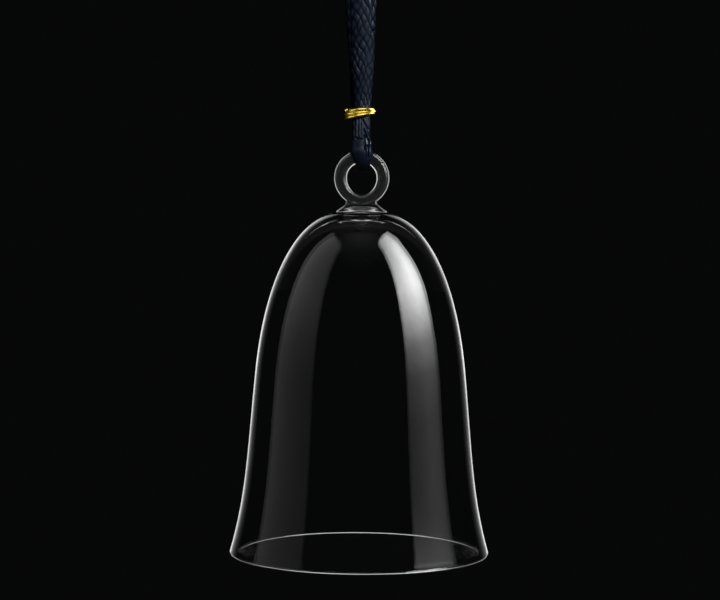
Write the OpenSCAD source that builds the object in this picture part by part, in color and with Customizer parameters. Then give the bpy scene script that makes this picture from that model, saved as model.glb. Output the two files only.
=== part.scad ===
/* [Bell shell] */
// Outside diameter of the mouth at the rim
rim_d = 50; // [40:0.5:60]
// Height of the shell from the rim plane to the crown
shell_h = 66; // [56:0.5:76]
// Outside diameter at the waist, where the shoulder meets the skirt
waist_d = 40.7; // [34:0.1:44]
// Height of the waist above the rim plane
waist_h = 35.3; // [30:0.1:40]
// Lean of the wall at the waist, in degrees from upright
waist_lean = 5.3; // [3:0.1:8]
// Flare of the wall at the rim, in degrees from upright
rim_flare = 15.5; // [8:0.5:25]
// Fall of the crown where it leaves the foot, in degrees from level
crown_fall = 9.5; // [4:0.5:16]
// Reach of the flat part of the crown before it turns down
crown_reach = 8.4; // [6:0.1:10]
// Reach of the shoulder's curve above the waist
shoulder_reach = 16.6; // [12:0.1:20]
// Reach of the skirt's curve below the waist
skirt_reach = 15.6; // [10:0.1:20]
// Reach of the flare's curve above the rim
flare_reach = 11.8; // [8:0.1:16]
// Glass thickness at the crown
crown_wall = 1.3; // [0.9:0.05:2]
// Glass thickness at the waist
waist_wall = 1.0; // [0.7:0.05:1.6]
// Glass thickness at the rim
rim_wall = 1.2; // [1.05:0.05:1.8]
// Radius of the fire-polished edges of the rim
rim_round = 0.45; // [0.2:0.05:0.5]

/* [Foot and ring] */
// Diameter of the foot where it sits on the crown
foot_d = 10.1; // [8:0.1:13]
// Height of the foot from the crown to the top of its neck
foot_h = 2.7; // [2.2:0.1:4]
// Diameter of the neck at the top of the foot
neck_d = 6.2; // [5.6:0.1:7]
// Radius that rounds the top of the neck
neck_round = 0.4; // [0.2:0.05:0.6]
// Height above the crown at which the hollow side of the foot turns outwards
foot_hollow = 1.1; // [0.7:0.05:1.6]
// Amount by which the foot's edge leans in as it rises
foot_lean = 0.15; // [0:0.05:0.5]
// Outside diameter of the ring
ring_d = 10.7; // [10:0.1:13]
// Diameter of the glass rod that the ring is bent from
rod_d = 2.45; // [2:0.05:2.6]
// Half of the ring's arc, in degrees, that the two straight ends of the rod take up
join_angle = 31; // [26:0.5:36]
// Depth that the ring's outline sinks below the top of the neck
ring_sink = 0.2; // [0.1:0.05:0.4]

/* [Lace and wire] */
// Clearance between the ring's rod and the bend of the lace that carries it
bend_clearance = 0.285; // [0.2:0.005:0.4]
// Diameter of the gathered lace inside the wire
waist_lace_d = 4.3; // [3.8:0.1:4.6]
// Diameter of the wire
wire_d = 0.7; // [0.5:0.05:1.2]
// Number of turns that the wire takes round the lace
wire_turns = 3; // [1:0.25:6]
// Gap between one turn of the wire and the next
wire_gap = 0.42; // [0.42:0.01:1]
// Clearance between the wire and the lace that it gathers
wire_clearance = 0.12; // [0.08:0.01:0.3]
// Length of gathered lace that shows past the wire at each end
waist_margin = 0.15; // [0.1:0.05:0.2]

/* [Hidden] */
$fn = 96;
curve_steps = 24;
round_steps = 6;
lace_sides = 12;
wire_sides = 6;
rings_per_turn = 24;

// Corners and handles of the two curves that make the outside of the shell
shoulder_curve = [
    [foot_d / 2, shell_h],
    [foot_d / 2, shell_h] + crown_reach * [cos(crown_fall), -sin(crown_fall)],
    [waist_d / 2, waist_h] + shoulder_reach * [-sin(waist_lean), cos(waist_lean)],
    [waist_d / 2, waist_h]
];
skirt_curve = [
    [waist_d / 2, waist_h],
    [waist_d / 2, waist_h] + skirt_reach * [sin(waist_lean), -cos(waist_lean)],
    [rim_d / 2, rim_round] + flare_reach * [-sin(rim_flare), cos(rim_flare)],
    [rim_d / 2, rim_round]
];
flare_curve = [
    [neck_d / 2, foot_h - neck_round],
    [neck_d / 2, foot_hollow],
    [foot_d / 2 - foot_lean, foot_hollow],
    [foot_d / 2, 0]
];

// Route of the lace above the wire: across, depth, height, width, thickness
upper_front = [
    [0.1, -0.95, -27.6, 3.4, 1.7],
    [0.1, -1.0, -27.0, 3.4, 1.7],
    [0.15, -1.3, -25.5, 3.65, 1.7],
    [0.15, -1.75, -23.5, 4.05, 1.8],
    [0.2, -2.3, -21, 4.4, 1.8],
    [0.2, -2.9, -18, 4.6, 1.8],
    [0.2, -3.45, -15, 4.8, 1.8],
    [0.2, -3.95, -12, 4.95, 1.8],
    [0.2, -4.4, -9, 5.1, 1.8],
    [0.2, -4.75, -6.5, 5.1, 1.8],
    [0.15, -4.85, -4.5, 5.1, 1.8],
    [0.1, -4.6, -2.7, 5.1, 1.8],
    [0, -3.9, -1.1, 5.1, 1.8],
    [-0.1, -2.8, 0.1, 5.1, 1.8],
    [-0.25, -1.4, 0.75, 5.1, 1.8]
];
upper_top = [-0.4, 0, 0.9, 5.1, 1.8];

// Route of the lace below the wire, with its heights measured from the lower end of the gather
lower_front = [
    [0, -0.95, -0.15, 0.8, 1.7],
    [0, -0.95, -0.35, 1.8, 1.7],
    [0, -0.95, -0.75, 2.7, 1.7],
    [0, -0.95, -1.25, 3.2, 1.7],
    [0, -0.95, -1.85, 3.5, 1.7],
    [0, -1.0, -2.55, 3.6, 1.7],
    [0, -1.2, -3.35, 3.8, 1.6],
    [0, -1.55, -4.15, 4.1, 1.5],
    [0, -2.0, -4.95, 4.3, 1.35],
    [0, -2.25, -5.55, 4.4, 1.2],
    [0, -2.3, -6.05, 4.1, 1.1],
    [0, -2.2, -6.7, 3.7, 1.1],
    [0, -1.9, -7.3, 3.2, 1.1],
    [0, -1.4, -7.75, 2.8, 1.15],
    [0, -0.7, -8.05, 2.5, 1.2]
];
lower_bottom = [0, 0, -8.15, 2.4, 1.2];

// The same points in reverse order, a half turn away about the point where the lace turns back
function far_side(points, bend) = [
    for (i = [len(points) - 1:-1:0])
        let (p = points[i])
            [2 * bend[0] - p[0], -p[1], p[2], p[3], p[4]]
];
function dropped(points, level) = [for (p = points) p + [0, 0, level, 0, 0]];

// Winding of the wire, and the gathered lace that it holds under the upper loop
wire_pitch = wire_d + wire_gap;
wire_r = waist_lace_d / 2 + wire_clearance + wire_d / 2;
wire_h = wire_turns * wire_pitch + wire_d;
gather_h = wire_h + 2 * waist_margin;
gather_low = upper_front[0][2] - gather_h;
gather_z = gather_low + gather_h / 2;

// Both loops of the lace, whole
upper_route = concat(upper_front, [upper_top], far_side(upper_front, upper_top));
lower_route = dropped(concat(lower_front, [lower_bottom], far_side(lower_front, lower_bottom)), gather_low);

// Levels of the glass, which hangs by its rod in the bend of the lower loop
rod_z = gather_low + lower_bottom[2] + lower_bottom[4] / 2 + bend_clearance + rod_d / 2;
ring_r = (ring_d - rod_d) / 2;
ring_z = rod_z - ring_r;
neck_depth = (ring_d / 2 - neck_d / 2 * sin(join_angle)) / cos(join_angle);
crown_z = ring_z - neck_depth + ring_sink - foot_h;
rim_z = crown_z - shell_h;

// Point and direction on a cubic curve
function on_curve(c, t) =
    pow(1 - t, 3) * c[0] + 3 * t * pow(1 - t, 2) * c[1] + 3 * t * t * (1 - t) * c[2] + pow(t, 3) * c[3];
function along_curve(c, t) =
    pow(1 - t, 2) * (c[1] - c[0]) + 2 * t * (1 - t) * (c[2] - c[1]) + t * t * (c[3] - c[2]);
function inward(c, t) = let (d = along_curve(c, t)) [d[1], -d[0]] / norm(d);

// Points of a curve, and of the glass's inner face behind it
function outside(c) = [for (i = [0:curve_steps]) on_curve(c, i / curve_steps)];
function inside(c, wall_a, wall_b) = [
    for (i = [curve_steps:-1:0])
        let (t = i / curve_steps)
            on_curve(c, t) + (wall_a + (wall_b - wall_a) * t) * inward(c, t)
];
function quarter(centre, r, from) = [
    for (i = [1:round_steps])
        let (a = from - 90 * i / round_steps)
            centre + r * [cos(a), sin(a)]
];

shell_outline = concat(
    [[0, shell_h]],
    outside(shoulder_curve),
    [for (i = [1:curve_steps]) outside(skirt_curve)[i]],
    quarter([rim_d / 2 - rim_round, rim_round], rim_round, 0),
    [[rim_d / 2 - rim_wall + rim_round, 0]],
    quarter([rim_d / 2 - rim_wall + rim_round, rim_round], rim_round, -90),
    inside(skirt_curve, waist_wall, rim_wall),
    [for (i = [1:curve_steps]) inside(shoulder_curve, crown_wall, waist_wall)[i]],
    [[0, shell_h - crown_wall]]
);
foot_outline = concat(
    [[0, foot_h]],
    [[neck_d / 2 - neck_round, foot_h]],
    quarter([neck_d / 2 - neck_round, foot_h - neck_round], neck_round, 90),
    [for (i = [1:curve_steps]) outside(flare_curve)[i]],
    [[0, 0]]
);

// Flat oval section of the lace at one point of its route
function lace_ring(route, i) =
    let (
        p = route[i],
        a = route[max(i - 1, 0)],
        b = route[min(i + 1, len(route) - 1)],
        at_end = i == 0 || i == len(route) - 1,
        way = [at_end ? 0 : b[1] - a[1], b[2] - a[2]],
        side = [-way[1], way[0]] / norm(way)
    )
    [
        for (k = [0:lace_sides - 1])
            let (
                turn = 360 * k / lace_sides,
                across = p[3] / 2 * cos(turn),
                out = p[4] / 2 * sin(turn)
            )
            [p[0] + across, p[1] + out * side[0], p[2] + out * side[1]]
    ];

// Closed skin of triangles over rings of points
module tube(rings) {
    n = len(rings[0]);
    last = len(rings) - 1;
    polyhedron(
        points = [for (ring = rings) for (p = ring) p],
        faces = concat(
            [
                for (i = [0:last - 1], k = [0:n - 1])
                    let (a = i * n + k, b = i * n + (k + 1) % n)
                        each [[a, b, a + n], [b, b + n, a + n]]
            ],
            [for (k = [1:n - 2]) [0, k + 1, k]],
            [for (k = [1:n - 2]) [last * n, last * n + k, last * n + k + 1]]
        )
    );
}

module bell_shell() {
    color("lightcyan", 0.4)
        translate([0, 0, rim_z])
            rotate_extrude()
                polygon(shell_outline);
}

module ring_solid() {
    translate([0, 0, ring_z])
        rotate([90, 0, 0]) {
            rotate([0, 0, join_angle - 90])
                rotate_extrude(angle = 360 - 2 * join_angle)
                    translate([ring_r, 0])
                        circle(d = rod_d);
            for (side = [-1, 1])
                rotate([0, 0, side * join_angle - 90])
                    translate([ring_r, 0, 0])
                        rotate([side * 90, 0, 0])
                            cylinder(h = ring_r * tan(join_angle), d = rod_d);
        }
}

module hanging_ring() {
    color("azure", 0.5)
        ring_solid();
}

module ring_foot() {
    color("aliceblue", 0.5)
        difference() {
            translate([0, 0, crown_z])
                rotate_extrude()
                    polygon(foot_outline);
            ring_solid();
        }
}

module lace_upper_loop() {
    color("midnightblue")
        tube([for (i = [0:len(upper_route) - 1]) lace_ring(upper_route, i)]);
}

module lace_waist() {
    color("midnightblue")
        translate([0, 0, gather_z])
            cylinder(h = gather_h, d = waist_lace_d, center = true);
}

module lace_lower_loop() {
    color("midnightblue")
        tube([for (i = [0:len(lower_route) - 1]) lace_ring(lower_route, i)]);
}

// Middle of the wire after a number of turns, which start and end on the left
function wire_point(turn) = [
    -wire_r * cos(360 * turn),
    -wire_r * sin(360 * turn),
    gather_z + (turn - wire_turns / 2) * wire_pitch
];
function level_way(turn) = [sin(360 * turn), -cos(360 * turn), 0];
function wire_ring(turn, way, past) =
    let (
        out = [-cos(360 * turn), -sin(360 * turn), 0],
        up = cross(way, out),
        middle = wire_point(turn) + past * way
    )
    [
        for (k = [0:wire_sides - 1])
            let (a = 360 * k / wire_sides)
                middle + wire_d / 2 * (cos(a) * out + sin(a) * up)
    ];
function climbing_ring(turn) =
    let (way = 2 * PI * wire_r * level_way(turn) + [0, 0, wire_pitch])
        wire_ring(turn, way / norm(way), 0);
wire_steps = ceil(wire_turns * rings_per_turn);
wire_marks = [for (i = [0:wire_steps]) i / wire_steps * wire_turns];
wire_rings = concat(
    [wire_ring(0, level_way(0), -wire_d)],
    [for (turn = wire_marks) climbing_ring(turn)],
    [wire_ring(wire_turns, level_way(wire_turns), wire_d)]
);

// Least gap between points of the wire that lie half a turn or more apart
wire_least_gap = min([
    for (a = wire_marks, b = wire_marks)
        if (b - a >= 0.5)
            norm(wire_point(a) - wire_point(b)) - wire_d
]);
echo(wire_least_gap = wire_least_gap);

module wire_tie() {
    color("goldenrod")
        tube(wire_rings);
}

bell_shell();
ring_foot();
hanging_ring();
lace_upper_loop();
lace_waist();
lace_lower_loop();
wire_tie();
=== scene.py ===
import math
import bmesh
import bpy
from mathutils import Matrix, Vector, geometry, noise


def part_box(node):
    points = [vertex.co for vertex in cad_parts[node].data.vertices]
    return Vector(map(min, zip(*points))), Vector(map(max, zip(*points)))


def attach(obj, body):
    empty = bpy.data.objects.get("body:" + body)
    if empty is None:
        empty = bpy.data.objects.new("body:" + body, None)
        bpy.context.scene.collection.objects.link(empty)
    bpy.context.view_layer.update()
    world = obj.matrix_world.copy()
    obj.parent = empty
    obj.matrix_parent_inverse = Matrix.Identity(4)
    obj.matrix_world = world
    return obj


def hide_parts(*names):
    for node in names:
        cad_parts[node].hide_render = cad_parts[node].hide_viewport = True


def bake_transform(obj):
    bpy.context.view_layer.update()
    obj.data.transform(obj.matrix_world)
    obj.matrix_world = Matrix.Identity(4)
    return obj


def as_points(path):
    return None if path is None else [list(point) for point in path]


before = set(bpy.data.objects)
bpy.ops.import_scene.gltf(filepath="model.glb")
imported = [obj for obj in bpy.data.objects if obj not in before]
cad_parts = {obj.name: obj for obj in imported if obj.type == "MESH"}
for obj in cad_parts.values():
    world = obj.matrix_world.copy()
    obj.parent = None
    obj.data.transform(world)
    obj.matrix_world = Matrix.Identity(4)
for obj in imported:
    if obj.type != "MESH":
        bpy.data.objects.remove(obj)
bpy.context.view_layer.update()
scene = bpy.context.scene
mm = 0.001
print("frame loaded:", ", ".join(sorted(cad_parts)))


# Camera
view = {
    "pixelsAcross": 720,
    "focalPixels": 1556,
    "distance": 0.3027,  # lens to the bell's axis
    "eyeLevel": -0.0659,
    "sideways": -0.00016,
    "roll": -0.43,  # degrees
}


def placeCamera():
    data = bpy.data.cameras.new("photoCamera")
    data.sensor_width = 36
    data.lens = view["focalPixels"] * data.sensor_width / view["pixelsAcross"]
    camera = bpy.data.objects.new("photoCamera", data)
    camera.location = (view["sideways"], -view["distance"], view["eyeLevel"])
    camera.rotation_euler = (math.radians(90), math.radians(view["roll"]), 0)
    scene.collection.objects.link(camera)
    scene.camera = camera


placeCamera()
scene.view_settings.view_transform = "Standard"
print("camera placed")


# Shader sums
class Shade:
    # a shader socket that can stand in Python sums
    def __init__(self, tree, socket=None):
        self.tree = tree
        self.socket = socket

    def node(self, kind, settings=None, sockets=None, out=0):
        made = self.tree.nodes.new(kind)
        for name, setting in (settings or {}).items():
            if name == "stops":
                ramp = made.color_ramp.elements
                while len(ramp) < len(setting):
                    ramp.new(1)
                for element, (place, colour) in zip(ramp, setting):
                    element.position = place
                    element.color = colour if len(colour) == 4 else (*colour, 1)
            else:
                setattr(made, name, setting)
        for name, value in (sockets or {}).items():
            if isinstance(value, Shade):
                self.tree.links.new(value.socket, made.inputs[name])
            else:
                made.inputs[name].default_value = value
        return Shade(self.tree, made.outputs[out])

    def feed(self, shader, name):
        self.tree.links.new(self.socket, shader.inputs[name])

    def maths(self, operation, first, second=0.0):
        return self.node("ShaderNodeMath", {"operation": operation}, {0: first, 1: second})

    def part(self, axis):
        return self.node("ShaderNodeSeparateXYZ", None, {0: self}, axis)

    def path(self, name):
        return self.node("ShaderNodeLightPath", None, None, name)

    def place(self):
        return self.node("ShaderNodeTexCoord", None, None, "Object")

    def over(self, limit):
        return self.maths("GREATER_THAN", self, limit)

    def under(self, limit):
        return self.maths("LESS_THAN", self, limit)

    def fract(self):
        return self.maths("FRACT", self)

    def floor(self):
        return self.maths("FLOOR", self)

    def sine(self):
        return self.maths("SINE", self)

    def clamped(self):
        return self.node("ShaderNodeClamp", None, {"Value": self})

    def colours(self, low, high):
        ends = {"Factor": self, "A": (*low, 1), "B": (*high, 1)}
        return self.node("ShaderNodeMix", {"data_type": "RGBA"}, ends, "Result")

    def __add__(self, other):
        return self.maths("ADD", self, other)

    def __sub__(self, other):
        return self.maths("SUBTRACT", self, other)

    def __rsub__(self, other):
        return self.maths("SUBTRACT", other, self)

    def __mul__(self, other):
        return self.maths("MULTIPLY", self, other)

    def __pow__(self, other):
        return self.maths("POWER", self, other)

    __radd__ = __add__
    __rmul__ = __mul__


def newMaterial(name, constants):
    material = bpy.data.materials.new(name)
    material.use_nodes = True
    surface = material.node_tree.nodes["Principled BSDF"]
    for socket, number in constants.items():
        surface.inputs[socket].default_value = number
    return material, Shade(material.node_tree), surface


def grain(shade, vector, scale, detail):
    sockets = {"Vector": vector, "Scale": scale, "Detail": detail}
    return shade.node("ShaderNodeTexNoise", {"noise_dimensions": "3D"}, sockets)


def bumped(shade, height, strength, distance):
    sockets = {"Height": height, "Strength": strength, "Distance": distance}
    return shade.node("ShaderNodeBump", None, sockets)


# Mesh helpers
def ease(low, high, value):
    share = min(max((value - low) / (high - low), 0), 1)
    return share * share * (3 - 2 * share)


def finishPiece(name, bm, material, sharpAngle=60):
    mesh = bpy.data.meshes.new(name)
    bm.to_mesh(mesh)
    bm.free()
    for face in mesh.polygons:
        face.use_smooth = True
    mesh.set_sharp_from_angle(angle=math.radians(sharpAngle))
    mesh.materials.append(material)
    piece = bpy.data.objects.new(name, mesh)
    scene.collection.objects.link(piece)
    return piece


def curveNumber(p, q, r, s, t):
    # one number of a smooth curve from q to r, with p before them and s after
    bend = 2 * p - 5 * q + 4 * r - s
    twist = 3 * q - p - 3 * r + s
    return 0.5 * (2 * q + (r - p) * t + bend * t * t + twist * t ** 3)


def smoothLine(points, step):
    # an even line through the chosen points; each point may carry more numbers than its place
    fine = 24
    dense = []
    for i in range(len(points) - 1):
        a, b = points[max(i - 1, 0)], points[i]
        c, d = points[i + 1], points[min(i + 2, len(points) - 1)]
        for k in range(fine):
            dense.append([curveNumber(*numbers, k / fine) for numbers in zip(a, b, c, d)])
    dense.append(list(points[-1]))
    reach = [0]
    for p, q in zip(dense, dense[1:]):
        reach.append(reach[-1] + math.dist(p[:3], q[:3]))
    count = max(round(reach[-1] / step), 2)
    line, at = [], 0
    for k in range(count + 1):
        want = reach[-1] * k / count
        while at < len(reach) - 2 and reach[at + 1] < want:
            at += 1
        t = (want - reach[at]) / max(reach[at + 1] - reach[at], 1e-12)
        line.append([p + (q - p) * t for p, q in zip(dense[at], dense[at + 1])])
    return line, reach[-1]


def tubeGrid(sides, rings, place, uvName, uvPlace):
    # a flat grid rolled into a tube: place(i, share) gives the point at ring i and share of the way round
    bm = bmesh.new()
    uvLayer = bm.loops.layers.uv.new(uvName)
    bmesh.ops.create_grid(bm, x_segments=sides, y_segments=rings - 1, size=0.5, calc_uvs=True)
    for vert in bm.verts:
        vert.co = place(round((vert.co.y + 0.5) * (rings - 1)), vert.co.x + 0.5)
    for face in bm.faces:
        for loop in face.loops:
            loop[uvLayer].uv = uvPlace(*loop[uvLayer].uv)
    bmesh.ops.remove_doubles(bm, verts=bm.verts, dist=1e-7)
    bmesh.ops.holes_fill(bm, edges=[edge for edge in bm.edges if edge.is_boundary], sides=0)
    bmesh.ops.recalc_face_normals(bm, faces=bm.faces)
    return bm


# Waxed lace
braid = {
    "yarnsAround": 8,
    "floatLength": 2.5 * mm,  # one lozenge of the braid, along the lace
    "relief": 0.3 * mm,
    "crossing": 0.12,  # how much of its height a yarn keeps where it dives
    "strayAround": 0.34,  # how far the yarns are pulled out of line
    "strayAlong": 0.26,
    "strayScale": (1.6, 0.6),  # round and along
    "oval": (4.8, 1.8),  # width and thickness that the sides are spaced for
    "sides": 120,
    "step": 0.115 * mm,
}
# the upper loop: the braid is worn in patches, more to the left, and lies flat in the tie
wear = {
    "level": 0.6,
    "unevenness": 0.9,
    "patch": 3 * mm,
    "sideways": 120,  # per metre to the right
    "least": 0.2,
    "tied": -30.5 * mm,
    "free": -24 * mm,
    "tiedRelief": 0.3,
}
# the lower loop: folds show on the outer face, and hardly any braid
bendPress = {
    "faceFrom": 0.05,
    "faceTo": 0.75,
    "bendRelief": 0.05,
    "tieRelief": 0.1,  # added near the tie
    "bend": -34.5 * mm,
    "tie": -32.5 * mm,
}
# across, depth, height, width, thickness, and across at the back, in millimetres
upperFront = [
    [0.05, -0.9, -30.4, 3.3, 1.6, -0.1],
    [0.05, -0.93, -29.0, 3.3, 1.65, -0.25],
    [0.04, -0.95, -27.6, 3.4, 1.7, -0.55],
    [0.04, -1.0, -27.0, 3.4, 1.7, -0.6],
    [0.04, -1.3, -25.5, 3.6, 1.7, -0.6],
    [0.04, -1.75, -23.5, 3.9, 1.8, -0.5],
    [0.04, -2.3, -21, 4.2, 1.8, -0.45],
    [0.04, -2.9, -18, 4.42, 1.8, -0.5],
    [0.03, -3.45, -15, 4.6, 1.8, -0.65],
    [0.02, -3.95, -12, 4.8, 1.8, -0.85],
    [0, -4.4, -9, 4.95, 1.8, -1.0],
    [0, -4.75, -6.5, 5, 1.8, -1.1],
    [0, -4.85, -4.5, 5.05, 1.8, -1.1],
    [-0.05, -4.6, -2.7, 5.1, 1.8, -1.05],
    [-0.1, -3.9, -1.1, 5.1, 1.8, -0.95],
    [-0.2, -2.8, 0.1, 5.1, 1.8, -0.8],
    [-0.3, -1.4, 0.75, 5.1, 1.8, -0.65],
]
upperTop = [-0.45, 0, 0.9, 5.1, 1.8]
lowerFront = [
    [-0.15, -0.92, -28.9, 3.0, 1.4, -0.15],
    [-0.15, -0.95, -30.5, 3.4, 1.6, -0.15],
    [-0.15, -0.95, -32.1, 3.5, 1.7, -0.15],
    [-0.15, -0.95, -33.2, 3.5, 1.7, -0.15],
    [-0.12, -1.0, -34.5, 3.55, 1.7, -0.12],
    [-0.07, -1.2, -35.3, 3.7, 1.6, -0.07],
    [-0.05, -1.55, -36.1, 3.9, 1.5, -0.05],
    [-0.05, -2.0, -36.9, 4.15, 1.35, -0.05],
    [-0.07, -2.25, -37.5, 4.3, 1.2, -0.07],
    [-0.02, -2.3, -38, 4.15, 1.1, -0.02],
    [0.1, -2.2, -38.65, 3.55, 1.1, 0.1],
    [0.2, -1.9, -39.25, 3.0, 1.1, 0.2],
    [0.26, -1.4, -39.7, 2.7, 1.15, 0.26],
    [0.3, -0.7, -40, 2.5, 1.2, 0.3],
]
lowerBottom = [0.3, 0, -40.1, 2.4, 1.2]
# folds pressed into the lower loop: from, to (across, height), half width, rise, in millimetres
frontFolds = [
    [-1.65, -31.0, -1.65, -34.2, 0.26, 0.13],
    [-1.05, -31.0, -1.1, -34.2, 0.26, 0.14],
    [-0.47, -31.0, -0.5, -34.1, 0.24, 0.12],
    [0.05, -31.0, -0.1, -33.6, 0.22, 0.09],
    [0.14, -31.1, 1.1, -32.85, 0.26, -0.32],
    [0.6, -32.9, 1.3, -34.8, 0.36, 0.3],
    [1.3, -34.8, 1.75, -35.7, 0.36, 0.26],
    [0.45, -34.2, 0.55, -36.4, 0.26, -0.34],
    [0.76, -36.1, 0.78, -36.3, 0.28, 0.3],
    [0.53, -36.7, 0.55, -36.75, 0.22, -0.4],
    [1.0, -36.8, 1.0, -38.2, 0.24, 0.12],
    [1.22, -35.9, 1.22, -38.3, 0.18, -0.36],
    [-1.2, -34.65, 0.0, -34.75, 0.24, -0.26],
]
backFolds = [
    [-1.3, -31.0, -1.2, -36.5, 0.3, 0.12],
    [-0.5, -31.0, -0.4, -37.5, 0.3, 0.1],
    [0.1, -31.5, 0.3, -37.8, 0.3, -0.24],
    [0.95, -31.0, 1.0, -36.8, 0.4, 0.16],
]
# lobes that lie over the rest: low and high corner (across, height), roundness, edge, rise, in millimetres
frontLobes = [
    [-2.8, -39.0, 0.38, -35.2, 0.8, 0.14, 0.46],
    [0.5, -38.8, 1.18, -36.0, 0.33, 0.12, 0.18],
    [1.27, -38.6, 2.8, -35.0, 0.5, 0.14, 0.3],
]
backLobes = [
    [-2.8, -39.0, 0.2, -35.2, 0.8, 0.16, 0.24],
    [1.1, -38.8, 2.8, -35.6, 0.5, 0.14, 0.18],
]


def wholeRoute(front, bend):
    far = [[back, -y, z, width, thick] for x, y, z, width, thick, back in reversed(front)]
    return [[number * mm for number in p[:5]] for p in [*front, bend, *far]]


def evenTurns(width, thick, count):
    # angles that part the edge of an oval into equal steps
    fine = 720
    reach = [0]
    for k in range(fine):
        middle = math.tau * (k + 0.5) / fine
        reach.append(reach[-1] + math.hypot(width * math.sin(middle), thick * math.cos(middle)))
    turns, at = [], 0
    for k in range(count + 1):
        while at < fine - 1 and reach[at + 1] < reach[-1] * k / count:
            at += 1
        part = (reach[-1] * k / count - reach[at]) / (reach[at + 1] - reach[at])
        turns.append(math.tau * (at + part) / fine)
    return turns


def braidPlace(share, along):
    # where a point lies on the braid, with the yarns pulled a little out of line
    turn = math.tau * share
    wide, long = braid["strayScale"]
    spot = Vector((wide * math.cos(turn), wide * math.sin(turn), long * along))
    other = spot + Vector((9, 4, 2))
    around = share * braid["yarnsAround"] + braid["strayAround"] * noise.noise(spot)
    return around, along + braid["strayAlong"] * noise.noise(other)


def braidRise(around, along):
    # height of a plain braid: one yarn lies over the other at each crossing
    a, b = around + along, around - along
    across, run = a - math.floor(a), b - math.floor(b)
    if (math.floor(a) + math.floor(b)) % 2:
        across, run = run, across
    low = braid["crossing"]
    crest = low + (1 - low) * math.sin(math.pi * run)
    return (math.sin(math.pi * across) * crest) ** 0.5 - 0.6


def foldRise(folds, x, z):
    rise = 0
    for x0, z0, x1, z1, half, height in folds:
        dx, dz = x1 - x0, z1 - z0
        t = min(max(((x - x0) * dx + (z - z0) * dz) / (dx * dx + dz * dz), 0), 1)
        away = math.hypot(x - x0 - t * dx, z - z0 - t * dz) / half
        if away < 1:
            rise += height * (1 - away * away) ** 2
    return rise * mm


def lobeRise(lobes, x, z):
    rise = 0
    for x0, z0, x1, z1, roundness, edge, height in lobes:
        dx = max(x0 - x, x - x1) + roundness
        dz = max(z0 - z, z - z1) + roundness
        outside = math.hypot(max(dx, 0), max(dz, 0)) + min(max(dx, dz), 0) - roundness
        rise += height * ease(edge, -edge, outside) * ease(z0, (z0 + 2 * z1) / 3, z)
    return rise * mm


def laceMesh(route, moved):
    line, length = smoothLine(route, braid["step"])
    turns = evenTurns(*braid["oval"], braid["sides"])
    floats = length / braid["floatLength"]

    def place(i, share):
        x, y, z, width, thick = line[i]
        before, after = line[max(i - 1, 0)], line[min(i + 1, len(line) - 1)]
        way = Vector((0, after[1] - before[1], after[2] - before[2])).normalized()
        side = Vector((0, -way.z, way.y))
        turn = turns[round(share * braid["sides"])]
        oval = Vector((width / 2 * math.cos(turn), 0, 0)) + side * (thick / 2 * math.sin(turn))
        point = Vector((x, y, z)) + oval
        out = Vector((math.cos(turn) * thick, 0, 0)) + side * (math.sin(turn) * width)
        around, along = braidPlace(share, i / (len(line) - 1) * floats)
        return point + out.normalized() * moved(point, math.sin(turn), around, along)

    def braidUv(u, v):
        return braidPlace(u, v * floats)

    bm = tubeGrid(braid["sides"], len(line), place, "braid", braidUv)
    return bm, line, length


laceFinish = {
    # from dark to light: the dark end gives the painted shade in the grooves and on the lower loop, and
    # yarn and wax noise vary the tone at random
    "dark": (0.001, 0.0016, 0.0066),
    "light": (0.0145, 0.0225, 0.044),
    "roughness": 0.46,
    "waxGrain": 420,
    "thickWaxGrain": 230,
    "thickWax": 0.75,
    "fuzzGrain": 5200,
    # below this height the lace is pressed flat and painted darker, as painted shade
    "pressedAndShadedBelow": -32 * mm,
    "threadsPerYarn": 4,
    "threadDepth": 0.02 * mm,
}


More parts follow.
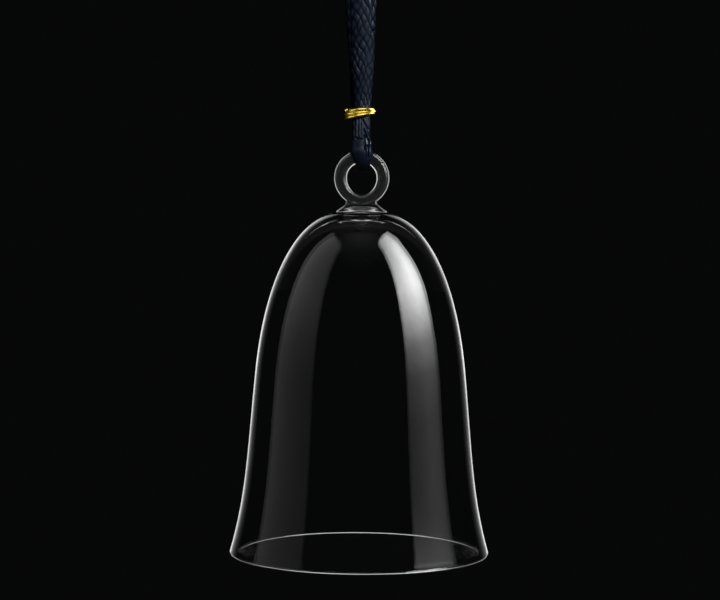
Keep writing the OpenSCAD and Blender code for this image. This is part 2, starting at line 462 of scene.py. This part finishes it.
def waxedLace():
    material, shade, surface = newMaterial("navyWaxedLace", {"Specular IOR Level": 0.4})
    uv = shade.node("ShaderNodeUVMap", {"uv_map": "braid"})
    around, along = uv.part(0), uv.part(1)
    a, b = around + along, around - along
    swap = ((a.floor() + b.floor()) * 0.5).fract() * 2
    across = a.fract() + (b.fract() - a.fract()) * swap
    run = b.fract() + (a.fract() - b.fract()) * swap
    # painted shade: the base colour is darker in the grooves between the yarns and lighter on their crests
    crest = ((across * math.pi).sine() * (run * math.pi).sine()) ** 0.7
    cell = shade.node("ShaderNodeCombineXYZ", None, {"X": a.floor(), "Y": b.floor()})
    yarn = shade.node("ShaderNodeTexWhiteNoise", {"noise_dimensions": "2D"}, {"Vector": cell}, "Value")
    place = shade.place()
    wax = grain(shade, place, laceFinish["waxGrain"], 3)
    fuzz = grain(shade, place, laceFinish["fuzzGrain"], 2)
    # thick wax and the pressed bend hide the yarns; below its height the pressed bend is also painted
    # darker, as painted shade
    pool = grain(shade, place, laceFinish["thickWaxGrain"], 1)
    thick = ((pool - 0.5) * 5).clamped() * laceFinish["thickWax"]
    pressedAndShaded = ((laceFinish["pressedAndShadedBelow"] - place.part(2)) * 400).clamped()
    hidden = shade.maths("MAXIMUM", thick, pressedAndShaded)
    # where the yarns are hidden the tone is flat, and the pressed lower loop is painted darker still, as
    # painted shade, also by losing the yarn tone
    braidShade = crest + (0.8 - pressedAndShaded * 0.2 - crest) * hidden
    # the tone holds the painted braid shade together with random yarn and wax variation
    tone = (braidShade * 1.1 + yarn * (1 - pressedAndShaded) * 0.25 + wax * 0.5 - 0.62).clamped()
    tone.colours(laceFinish["dark"], laceFinish["light"]).feed(surface, "Base Color")
    (laceFinish["roughness"] - yarn * 0.12 + wax * 0.16 - pressedAndShaded * 0.08).feed(surface, "Roughness")
    twist = across * (math.tau * laceFinish["threadsPerYarn"]) + run * 2
    threads = twist.sine() * (1 - pressedAndShaded) * 0.4 + fuzz
    bumped(shade, threads, 0.4, laceFinish["threadDepth"]).feed(surface, "Normal")
    return material


laceMaterial = waxedLace()


def upperLace():
    def moved(point, facing, around, along):
        patch = wear["unevenness"] * noise.noise(point / wear["patch"])
        kept = min(max(wear["level"] + patch + wear["sideways"] * point.x, wear["least"]), 1)
        fade = wear["tiedRelief"] + (1 - wear["tiedRelief"]) * ease(wear["tied"], wear["free"], point.z)
        return braid["relief"] * braidRise(around, along) * fade * kept

    bm, line, length = laceMesh(wholeRoute(upperFront, upperTop), moved)
    return finishPiece("lace_upper", bm, laceMaterial), line, length


def lowerLace():
    def moved(point, facing, around, along):
        outer = ease(bendPress["faceFrom"], bendPress["faceTo"], -facing)
        folds, lobes = (frontFolds, frontLobes) if point.y < 0 else (backFolds, backLobes)
        x, z = point.x / mm, point.z / mm
        press = (foldRise(folds, x, z) + lobeRise(lobes, x, z)) * outer
        nearTie = ease(bendPress["bend"], bendPress["tie"], point.z)
        fade = bendPress["bendRelief"] + bendPress["tieRelief"] * nearTie
        return press + braid["relief"] * braidRise(around, along) * fade

    bm, line, length = laceMesh(wholeRoute(lowerFront, lowerBottom), moved)
    return finishPiece("lace_lower", bm, laceMaterial), length


laceUp, laceLine, laceLength = upperLace()
laceDown, bendLength = lowerLace()
print("lace:", round(laceLength / mm, 1), "mm above the wire,", round(bendLength / mm, 1), "mm below")


# Gold wire
wire = {
    "radius": 0.35 * mm,
    "centreX": -0.4 * mm,
    "reachX": 2.62 * mm,
    "reachY": 2.3 * mm,
    "nip": 0.78,  # the cut ends are slightly nipped in
    "markStep": 0.01,
    "sides": 20,
    "step": 0.09 * mm,
}
# turns from the left end, height, stand-off, in millimetres
wireMarks = [
    [-0.03, -30.64, 0],
    [0.12, -30.52, 0],
    [0.25, -30.24, 0],
    [0.5, -29.47, -0.12],
    [0.75, -29.75, 0],
    [1, -29.88, 0.02],
    [1.25, -29.68, -0.22],
    [1.5, -29.2, 0.06],
    [1.75, -29.25, 0.35],
    [2, -29.32, -0.3],
    [2.25, -29.12, 0],
    [2.5, -28.93, -0.12],
    [2.75, -28.75, 0],
    [2.97, -28.98, 0.12],
]


def wireMesh():
    points = []
    for turn, z, out in smoothLine(wireMarks, wire["markStep"])[0]:
        angle = math.tau * turn
        points.append((
            wire["centreX"] - (wire["reachX"] + out * mm) * math.cos(angle),
            -(wire["reachY"] + out * mm) * math.sin(angle),
            z * mm,
        ))
    line, length = smoothLine(points, wire["step"])
    last = len(line) - 1

    def place(i, share):
        p = Vector(line[i])
        way = (Vector(line[min(i + 1, last)]) - Vector(line[max(i - 1, 0)])).normalized()
        out = Vector((p.x - wire["centreX"], p.y, 0))
        out = (out - way * out.dot(way)).normalized()
        up = way.cross(out)
        radius = wire["radius"] * (wire["nip"] if i in (0, last) else 1)
        turn = math.tau * share
        return p + radius * (out * math.cos(turn) + up * math.sin(turn))

    def drawnUv(u, v):
        return u, v * length / (math.tau * wire["radius"])

    return tubeGrid(wire["sides"], len(line), place, "drawn", drawnUv)


wireFinish = {
    "dull": (0.86, 0.63, 0.07),
    "bright": (0.98, 0.8, 0.19),
    "roughness": 0.27,
    "drawnLines": (14, 0.5, 1),
    "tarnishGrain": 900,
}


def goldWire():
    material, shade, surface = newMaterial("goldWire", {"Metallic": 1.0})
    uv = shade.node("ShaderNodeUVMap", {"uv_map": "drawn"})
    stretched = shade.node("ShaderNodeMapping", None, {"Vector": uv, "Scale": wireFinish["drawnLines"]})
    lines = grain(shade, stretched, 1, 2)
    tarnish = grain(shade, shade.place(), wireFinish["tarnishGrain"], 3)
    tone = (tarnish * 1.5 - 0.35).clamped()
    tone.colours(wireFinish["dull"], wireFinish["bright"]).feed(surface, "Base Color")
    (wireFinish["roughness"] + lines * 0.04 + tarnish * 0.06).feed(surface, "Roughness")
    return material


tieWire = finishPiece("wire_tie_wound", wireMesh(), goldWire())
print("wire wound")


# Blown glass
glassLow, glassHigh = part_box("bell_shell")
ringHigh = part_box("hanging_ring")[1]
bell = {
    "waistRadius": 20.35 * mm,
    "waistHeight": 35.3 * mm,
    "waistLean": 5.3,  # degrees, as the next two
    "rimFlare": 15.5,
    "crownFall": 9.5,
    "crownReach": 8.4 * mm,
    "shoulderReach": 16.6 * mm,
    "skirtReach": 15.6 * mm,
    "flareReach": 11.8 * mm,
    "crownWall": 1.3 * mm,
    "waistWall": 1.0 * mm,
    "rimWall": 1.2 * mm,
    "rimRound": 0.45 * mm,
    "curvePoints": 48,
    "roundPoints": 10,
    "segments": 192,
    "sharpAngle": 35,  # degrees
}
foot = {
    "radius": 5.05 * mm,
    "height": 2.7 * mm,
    "neckRadius": 2.95 * mm,
    "neckRound": 0.4 * mm,
    "neckFoot": 1.3 * mm,  # the neck's sides stand up to here, then spread
    "hollowIn": 0.1 * mm,  # the hollow of the foot's side
    "hollowOut": 0.2 * mm,
    "hollowRise": 0.75 * mm,
    "fillet": 0.3 * mm,
    "filletPoints": 8,
    "neckDepth": 0.9 * mm,  # half the neck's thickness, front to back
    "flattenFrom": 0.05,  # shares of the foot's height
    "flattenTo": 0.65,
    "flattenFull": 0.3,
    "ripple": 0.06 * mm,
    "rippleWidth": 3,
    "ripplesUp": 1.7,
    "rippleFull": 0.15,
    "rippleTop": 0.95,
}
ring = {
    "rodRadius": 1.225 * mm,
    "holeDrop": 0.47 * mm,  # the hole reaches this much lower than a circle would
    "tip": 0.12 * mm,
    "tipAngle": 18,  # degrees to each side of the bottom
    "rodSegments": 80,
    "bendSegments": 240,
}


def slant(angle, length):
    turn = math.radians(angle)
    return Vector((math.sin(turn), math.cos(turn))) * length


def curve(start, startHandle, endHandle, end):
    return geometry.interpolate_bezier(start, startHandle, endHandle, end, bell["curvePoints"])


def walled(points, wallStart, wallEnd):
    inner = []
    last = len(points) - 1
    for i, point in enumerate(points):
        way = (points[min(i + 1, last)] - points[max(i - 1, 0)]).normalized()
        wall = wallStart + (wallEnd - wallStart) * i / last
        inner.append(point + Vector((way.y, -way.x)) * wall)
    return inner


def arcPoints(centre, radius, fromAngle, toAngle):
    steps = bell["roundPoints"]
    turns = [math.radians(fromAngle + (toAngle - fromAngle) * k / steps) for k in range(steps + 1)]
    return [centre + Vector((math.cos(t), math.sin(t))) * radius for t in turns]


def glassOutline():
    # radius and height above the rim, from the top of the neck round the rim to the crown's under side
    height = glassHigh.z - glassLow.z
    rimRadius = glassHigh.x
    edge = Vector((foot["radius"], height))
    waist = Vector((bell["waistRadius"], bell["waistHeight"]))
    lip = Vector((rimRadius, bell["rimRound"]))
    lean, flare = bell["waistLean"], bell["rimFlare"]
    crownHandle = edge + slant(90 + bell["crownFall"], bell["crownReach"])
    shoulderHandle = waist + slant(-lean, bell["shoulderReach"])
    skirtHandle = waist - slant(-lean, bell["skirtReach"])
    flareHandle = lip + slant(-flare, bell["flareReach"])
    shoulder = curve(edge, crownHandle, shoulderHandle, waist)
    skirt = curve(waist, skirtHandle, flareHandle, lip)
    shoulderIn = walled(shoulder, bell["crownWall"], bell["waistWall"])
    skirtIn = walled(skirt, bell["waistWall"], bell["rimWall"])
    turnIn = rimRadius - bell["rimWall"] + bell["rimRound"]
    outerRound = arcPoints(lip - Vector((bell["rimRound"], 0)), bell["rimRound"], 0, -90)
    innerRound = arcPoints(Vector((turnIn, bell["rimRound"])), bell["rimRound"], -90, -180)
    neckTop = height + foot["height"]
    shoulderOfNeck = Vector((foot["neckRadius"] - foot["neckRound"], neckTop - foot["neckRound"]))
    neck = arcPoints(shoulderOfNeck, foot["neckRound"], 90, 0)
    hollowIn = Vector((foot["neckRadius"] - foot["hollowIn"], height + foot["neckFoot"]))
    hollowOut = Vector((foot["radius"] - foot["hollowOut"], height + foot["hollowRise"]))
    side = curve(neck[-1], hollowIn, hollowOut, edge)
    side = [p for p in side if (p - edge).length > foot["fillet"]]
    crown = [p for p in shoulder if (p - edge).length > foot["fillet"]]
    handles = (side[-1] + edge) / 2, (crown[0] + edge) / 2
    fillet = geometry.interpolate_bezier(side[-1], *handles, crown[0], foot["filletPoints"])
    outside = [Vector((0, neckTop)), *neck, *side[1:], *fillet[1:-1], *crown, *skirt[1:], *outerRound[1:]]
    inside = [*innerRound, *reversed(skirtIn[:-1]), *reversed(shoulderIn[:-1])]
    return [*outside, *inside, Vector((0, height - bell["crownWall"]))]


def bellMesh():
    bm = bmesh.new()
    verts = [bm.verts.new((p.x, 0, p.y + glassLow.z)) for p in glassOutline()]
    edges = [bm.edges.new(pair) for pair in zip(verts, verts[1:])]
    bmesh.ops.spin(
        bm, geom=verts + edges, cent=(0, 0, 0), axis=(0, 0, 1),
        angle=math.tau, steps=bell["segments"], use_merge=True,
    )
    bmesh.ops.remove_doubles(bm, verts=bm.verts, dist=1e-6)
    bmesh.ops.dissolve_degenerate(bm, edges=bm.edges, dist=1e-8)
    bmesh.ops.recalc_face_normals(bm, faces=bm.faces)
    for vert in bm.verts:
        # the gather is flattened towards the ring and keeps the marks of the flame
        rise = (vert.co.z - glassHigh.z) / foot["height"]
        spread = 1 - ease(foot["flattenFrom"], foot["flattenTo"], rise)
        half = foot["neckDepth"] + (foot["radius"] - foot["neckDepth"]) * spread
        flat = half * math.tanh(vert.co.y / half)
        vert.co.y += (flat - vert.co.y) * ease(0, foot["flattenFull"], rise)
        if 0 < rise < foot["rippleTop"]:
            wide = foot["rippleWidth"]
            spot = Vector((vert.co.x / wide, vert.co.y / wide, vert.co.z * foot["ripplesUp"])) / mm
            swell = foot["ripple"] * noise.noise(spot) * ease(0, foot["rippleFull"], rise)
            vert.co += Vector((vert.co.x, vert.co.y, 0)).normalized() * swell
    return bm


def ringMesh():
    # a full turn of rod, thinned at the bottom where its two ends run together
    bm = bmesh.new()
    outer = ringHigh.x
    hole = outer - 2 * ring["rodRadius"]
    low = hole + ring["holeDrop"]
    centreZ = ringHigh.z - outer
    circle = bmesh.ops.create_circle(bm, segments=ring["rodSegments"], radius=ring["rodRadius"])["verts"]
    for vert in circle:
        vert.co = (0, vert.co.y, centreZ + outer - ring["rodRadius"] + vert.co.x)
    bmesh.ops.spin(
        bm, geom=circle + list(bm.edges), cent=(0, 0, centreZ), axis=(0, 1, 0),
        angle=math.tau, steps=ring["bendSegments"], use_merge=True,
    )
    bmesh.ops.remove_doubles(bm, verts=bm.verts, dist=1e-6)
    bmesh.ops.recalc_face_normals(bm, faces=bm.faces)
    for vert in bm.verts:
        x, z = vert.co.x, vert.co.z - centreZ
        reach = math.hypot(x, z)
        if z < 0:
            egg = hole * low / math.hypot(low * x / reach, hole * z / reach)
            fromBottom = math.degrees(math.atan2(abs(x), -z))
            egg += ring["tip"] * max(1 - fromBottom / ring["tipAngle"], 0)
            share = (outer - (outer - reach) * (outer - egg) / (outer - hole)) / reach
            vert.co.x *= share
            vert.co.z = centreZ + z * share
    return bm


glassFinish = {
    "colour": (0.985, 0.992, 0.995, 1),
    "ior": 1.47,
    "smearGrain": 130,
    "smear": 0.05,  # roughness at the most smeared spots
    "waveGrain": 45,
    "wave": 0.06,
    "waveDepth": 0.4 * mm,
    "rodLow": -48.7 * mm,
    "rodSoftness": 0.16,  # roughness
}


def clearGlass():
    material, shade, surface = newMaterial("clearBlownGlass", {
        "Base Color": glassFinish["colour"],
        "Transmission Weight": 1.0,
        "IOR": glassFinish["ior"],
    })
    place = shade.place()
    smear = (grain(shade, place, glassFinish["smearGrain"], 3) - 0.58).clamped()
    # the rod is a little softer than the shell, so the key's reflection in it doesn't break up
    onRod = ((place.part(2) - glassFinish["rodLow"]) * 2000).clamped()
    (smear * glassFinish["smear"] + onRod * glassFinish["rodSoftness"]).feed(surface, "Roughness")
    wave = grain(shade, place, glassFinish["waveGrain"], 1)
    bumped(shade, wave, glassFinish["wave"], glassFinish["waveDepth"]).feed(surface, "Normal")
    return material


def fusedGlass():
    glassMaterial = clearGlass()
    whole = finishPiece("glass_bell", bellMesh(), glassMaterial)
    rod = finishPiece("glass_rod", ringMesh(), glassMaterial)
    fuse = whole.modifiers.new("fuse", "BOOLEAN")
    fuse.operation = "UNION"
    fuse.solver = "EXACT"
    fuse.object = rod
    seen = bpy.context.evaluated_depsgraph_get()
    fused = bpy.data.meshes.new_from_object(whole.evaluated_get(seen))
    whole.modifiers.clear()
    whole.data = fused
    bpy.data.objects.remove(rod)
    bm = bmesh.new()
    bm.from_mesh(fused)
    bmesh.ops.remove_doubles(bm, verts=bm.verts, dist=1e-6)
    bm.to_mesh(fused)
    bm.free()
    for face in fused.polygons:
        face.use_smooth = True
    fused.set_sharp_from_angle(angle=math.radians(bell["sharpAngle"]))
    return whole


glass = fusedGlass()
print("glass fused:", len(glass.data.polygons), "faces")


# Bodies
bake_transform(laceUp)
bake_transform(laceDown)
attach(tieWire, "tie")
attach(glass, "bell")
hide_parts("lace_upper_loop", "lace_waist")
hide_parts("lace_lower_loop")
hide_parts("wire_tie")
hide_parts("bell_shell", "ring_foot", "hanging_ring")
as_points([p[:3] for p in laceLine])
print("pieces ride on their bodies")


# Studio
studio = {
    "floorLevel": -0.7,
    "floorRadius": 2.4,
    "floorColour": (0.62, 0.62, 0.61),
    "roomColour": (0.9, 0.95, 1, 1),
    "roomFill": 0.05,
    "roomSeen": 0.0024,
}
# faces or bounces that a ray has met, set halfway between two counts
rayCounts = {"oneWall": 2.5, "oneBounce": 1.5, "pastOneWall": 3.5}
# the azimuth starts from the camera's side, and the distance from the bell's axis
# up and across: how bright the panel is at each share of its height and width
keyLight = {
    "azimuth": 71.6,
    "distance": 0.28,
    "half": 0.107,
    "low": -0.25,
    "high": 0.62,
    "strength": 11.5,
    "up": [
        (0, 0.029), (0.2, 0.035), (0.231, 0.0655), (0.277, 0.178), (0.347, 0.68),
        (0.408, 1), (0.554, 0.81), (0.77, 0.55), (1, 0.42),
    ],
    "across": [(0, 0.45), (0.3, 0.72), (0.58, 1), (0.8, 0.88), (1, 0.5)],
    "flares": [(0.07, 0.29, 0.385), (0.17, 0.55, 0.77), (0.1, 0.77, 1)],  # growth, from, to
}
fillLight = {
    "azimuth": -77,
    "distance": 0.3,
    "half": 0.142,
    "low": -0.25,
    "high": 0.55,
    "strength": 0.77,
    "up": [(0, 0.25), (0.244, 0.26), (0.293, 0.33), (0.406, 0.62), (0.81, 0.8), (1, 0.7)],
    "across": [(0, 0.4), (0.5, 0.66), (1, 1)],
    "flares": [],
}
heldBack = 0.88


def emitter(name):
    material = bpy.data.materials.new(name)
    material.use_nodes = True
    tree = material.node_tree
    tree.nodes.remove(tree.nodes["Principled BSDF"])
    return material, Shade(tree)


def lamp(material, shade, lit):
    # a light that hides nothing behind it
    light = shade.node("ShaderNodeEmission", None, {"Strength": lit})
    clear = shade.node("ShaderNodeBsdfTransparent")
    both = shade.node("ShaderNodeAddShader", None, {0: light, 1: clear})
    both.feed(material.node_tree.nodes["Material Output"], "Surface")


def panelSpread(shade, upStops, acrossStops):
    uv = shade.node("ShaderNodeUVMap", {"uv_map": "panel"})
    ends = []
    for axis, stops in ((1, upStops), (0, acrossStops)):
        greys = [(place, (level, level, level)) for place, level in stops]
        ends.append(shade.node("ShaderNodeValToRGB", {"stops": greys}, {"Fac": uv.part(axis)}))
    return ends[0] * ends[1]


def glow(name, light):
    material, shade = emitter(name)
    # the far wall of the bell is left out of the mirror picture
    walls = shade.path("Transmission Depth")
    nearWall = (walls + shade.path("Is Reflection Ray") * walls).under(rayCounts["oneWall"])
    # and light that the rod has caught by several bounces is held back
    caught = shade.path("Glossy Depth").over(rayCounts["oneBounce"])
    spread = panelSpread(shade, light["up"], light["across"])
    lamp(material, shade, spread * nearWall * (1 - caught * heldBack) * light["strength"])
    return material


def lightOnly(light, pieces):
    group = bpy.data.collections.new(light.name + "Group")
    for piece in pieces:
        group.objects.link(piece)
    light.light_linking.receiver_collection = group


def stageLight(name, bm, material, pieces, diffuse=False, mirrored=True, through=True):
    light = finishPiece(name, bm, material)
    light.visible_camera = False
    light.visible_shadow = False
    light.visible_diffuse = diffuse
    light.visible_glossy = mirrored
    light.visible_transmission = through
    lightOnly(light, pieces)


def softPanel(corner, across, up, flares=()):
    # a flare makes the panel wider as it rises
    bm = bmesh.new()
    bm.loops.layers.uv.new("panel")
    bmesh.ops.create_grid(bm, x_segments=1, y_segments=24, size=0.5, calc_uvs=True)
    for vert in bm.verts:
        rise = vert.co.y + 0.5
        wider = 1 + sum(growth * ease(low, high, rise) for growth, low, high in flares)
        vert.co = corner + across * ((vert.co.x + 0.5) * wider) + up * rise
    return bm


def uprightPanel(light):
    corner = Vector((-light["half"], light["behind"], light["low"]))
    across = Vector((2 * light["half"], 0, 0))
    return softPanel(corner, across, Vector((0, 0, light["high"] - light["low"])))


def sideLight(name, light):
    turn = math.radians(light["azimuth"])
    away = Vector((math.sin(turn), -math.cos(turn), 0))
    across = Vector((math.cos(turn), math.sin(turn), 0)) * math.copysign(light["half"], light["azimuth"])
    corner = away * light["distance"] - across + Vector((0, 0, light["low"]))
    up = Vector((0, 0, light["high"] - light["low"]))
    panel = softPanel(corner, across * 2, up, light["flares"])
    stageLight(name, panel, glow(name, light), [glass, ground], diffuse=True)


edgeOut = [(0.02, 0.01), (0.13, 0.08), (0.27, 0.35), (0.34, 1), (0.41, 1), (0.43, 0)]
edgeLight = {
    "behind": 0.45,
    "half": 0.45,
    "low": -0.4,
    "high": 0.25,
    "strength": 1.1,
    "up": [(0, 1), (0.7, 1), (1, 0.2)],
    "across": edgeOut + [(1 - place, level) for place, level in reversed(edgeOut)],
}


def backLight():
    # lights the outlines of the thin wall by its polish alone
    stageLight("edgeLight", uprightPanel(edgeLight), glow("edgeGlow", edgeLight), [glass], through=False)


fieldLight = {
    "radius": 70 * mm,
    "centreZ": -43 * mm,
    "low": -95 * mm,
    "bright": 50,  # degrees from straight behind at which the dark ground ends
    "edge": 40,  # how sharply it ends
    "fade": 2.5,  # towards the sides
    "strength": 0.95,
    "dim": 0.006,
    "come": 69 * mm,  # how far light has come from the rod and the foot, which are at the middle
    "give": 5.5 * mm,  # more or less
}


def darkField():
    # a wide ring of light round the dark ground, for the edges of the rod and the foot alone
    material, shade = emitter("fieldGlow")
    bounced = shade.path("Glossy Depth").clamped()
    off = shade.maths("ABSOLUTE", shade.path("Ray Length") - fieldLight["come"])
    central = off.under(fieldLight["give"])
    ahead = shade.place().part(1) * (1 / fieldLight["radius"])
    darkEnd = math.cos(math.radians(fieldLight["bright"]))
    wide = ((darkEnd - ahead) * fieldLight["edge"] + 0.5).clamped()
    fade = (ahead * fieldLight["fade"]).clamped()
    lit = (1 - bounced) * wide * fade * fieldLight["strength"] + fieldLight["dim"]
    lamp(material, shade, lit * central)
    bm = bmesh.new()
    bmesh.ops.create_uvsphere(bm, u_segments=64, v_segments=36, radius=fieldLight["radius"])
    bmesh.ops.translate(bm, verts=bm.verts, vec=(0, 0, fieldLight["centreZ"]))
    for cut, outward in (((0, 0, 0), (0, -1, 0)), ((0, 0, fieldLight["low"]), (0, 0, -1))):
        everything = [*bm.verts, *bm.edges, *bm.faces]
        bmesh.ops.bisect_plane(bm, geom=everything, plane_co=cut, plane_no=outward, clear_outer=True)
    stageLight("fieldLight", bm, material, [glass], mirrored=False)


rimLight = {"behind": 0.45, "half": 0.45, "low": 0.05, "high": 0.7, "strength": 1.0}
# they keep the rim light off the crown
blackFlags = [
    {"behind": 0.08, "half": 0.12, "low": -0.044, "high": -0.016},
    {"behind": 0.08, "half": 0.022, "low": -0.016, "high": 0.08},
]


def rimGlow():
    # seen only through two walls: it draws the near and far edges of the mouth
    material, shade = emitter("rimGlow")
    bounced = shade.path("Glossy Depth").clamped()
    farWall = shade.path("Transmission Depth").over(rayCounts["pastOneWall"])
    lamp(material, shade, farWall * (1 - bounced) * rimLight["strength"])
    stageLight("rimLight", uprightPanel(rimLight), material, [glass], mirrored=False)


def flagRim():
    material, shade = emitter("blackFlag")
    farWall = shade.path("Transmission Depth").over(rayCounts["pastOneWall"])
    clear = shade.node("ShaderNodeBsdfTransparent")
    black = shade.node("ShaderNodeEmission", None, {"Strength": studio["roomSeen"]})
    mixed = shade.node("ShaderNodeMixShader", None, {0: farWall, 1: clear, 2: black})
    mixed.feed(material.node_tree.nodes["Material Output"], "Surface")
    for flag in blackFlags:
        stageLight("blackFlag", uprightPanel(flag), material, [glass], mirrored=False)


footLight = {
    "behind": 0.4,
    "half": 0.12,
    "low": -0.3,
    "high": 0.025,
    "strength": 1.6,
    "up": [(0, 0.2), (0.31, 0.9), (0.51, 0.2), (0.69, 1), (0.85, 0.25), (0.92, 0.7), (1, 0.06)],
    "across": [(0, 1), (0.325, 1), (0.44, 0.15), (0.56, 0.15), (0.675, 1), (1, 1)],
}


def footGlow():
    # seen only after a bounce inside the solid foot
    material, shade = emitter("footGlow")
    bounced = shade.path("Glossy Depth").clamped()
    solid = shade.path("Transmission Depth").under(rayCounts["oneWall"])
    spread = panelSpread(shade, footLight["up"], footLight["across"])
    lamp(material, shade, spread * bounced * solid * footLight["strength"])
    stageLight("footLight", uprightPanel(footLight), material, [glass], mirrored=False)


hazeLight = {"radius": 0.26, "level": -0.5, "strength": 0.23}


def crownHaze():
    # a faint pool under the mouth that the inside of the crown mirrors
    material, shade = emitter("hazeGlow")
    flat = shade.node("ShaderNodeVectorMath", {"operation": "MULTIPLY"}, {0: shade.place(), 1: (1, 1, 0)})
    away = shade.node("ShaderNodeVectorMath", {"operation": "LENGTH"}, {0: flat}, "Value")
    lamp(material, shade, (1 - away * (1 / hazeLight["radius"])).clamped() * hazeLight["strength"])
    bm = bmesh.new()
    bmesh.ops.create_circle(bm, cap_ends=True, segments=64, radius=hazeLight["radius"])
    bmesh.ops.translate(bm, verts=bm.verts, vec=(0, 0, hazeLight["level"]))
    stageLight("hazeLight", bm, material, [glass], through=False)


# lamps that light the lace or the wire without a picture in the glass: place, size and power
laceLamps = [[(0.3, -0.42, 0.3), 0.25, 4.0], [(0, 0.5, 0.35), 0.3, 1.5]]
wireLamps = [
    [(0.08, -0.4, 0.25), 0.5, 1.7],
    [(-0.28, -0.12, -0.03), 0.3, 0.3],
    [(0.3, 0.12, 0.06), 0.3, 1.1],
]
lampTarget = Vector((0, 0, -0.025))


def softLamps(name, lamps, pieces, tint):
    for i, (place, size, power) in enumerate(lamps):
        data = bpy.data.lights.new(name + str(i), "AREA")
        data.energy = power
        data.size = size
        data.color = tint
        light = bpy.data.objects.new(name + str(i), data)
        light.location = place
        light.rotation_euler = (lampTarget - light.location).to_track_quat("-Z", "Y").to_euler()
        scene.collection.objects.link(light)
        lightOnly(light, pieces)


def room():
    world = bpy.data.worlds.new("darkRoom")
    world.use_nodes = True
    scene.world = world
    shade = Shade(world.node_tree)
    background = world.node_tree.nodes["Background"]
    lit = shade.path("Is Diffuse Ray") * (studio["roomFill"] - studio["roomSeen"]) + studio["roomSeen"]
    lit.feed(background, "Strength")
    background.inputs["Color"].default_value = studio["roomColour"]


def floor():
    # pale, but black where the glass mirrors it
    material, shade, surface = newMaterial("paleFloor", {"Roughness": 0.8})
    surface.inputs["Base Color"].default_value = (*studio["floorColour"], 1)
    tree = material.node_tree
    mirrored = shade.path("Glossy Depth").clamped()
    black = shade.node("ShaderNodeBsdfDiffuse", None, {"Color": (0, 0, 0, 1)})
    pale = Shade(tree, surface.outputs[0])
    mixed = shade.node("ShaderNodeMixShader", None, {0: mirrored, 1: pale, 2: black})
    mixed.feed(tree.nodes["Material Output"], "Surface")
    bm = bmesh.new()
    bmesh.ops.create_circle(bm, cap_ends=True, segments=128, radius=studio["floorRadius"])
    bmesh.ops.translate(bm, verts=bm.verts, vec=(0, 0, studio["floorLevel"]))
    disc = finishPiece("floor", bm, material)
    return disc


ground = floor()
sideLight("keyLight", keyLight)
sideLight("fillLight", fillLight)
backLight()
darkField()
rimGlow()
flagRim()
footGlow()
crownHaze()
softLamps("laceLamp", laceLamps, [laceUp, laceDown], (0.8, 0.94, 1))
softLamps("wireLamp", wireLamps, [tieWire], (1, 1, 1))
room()
print("studio lit")
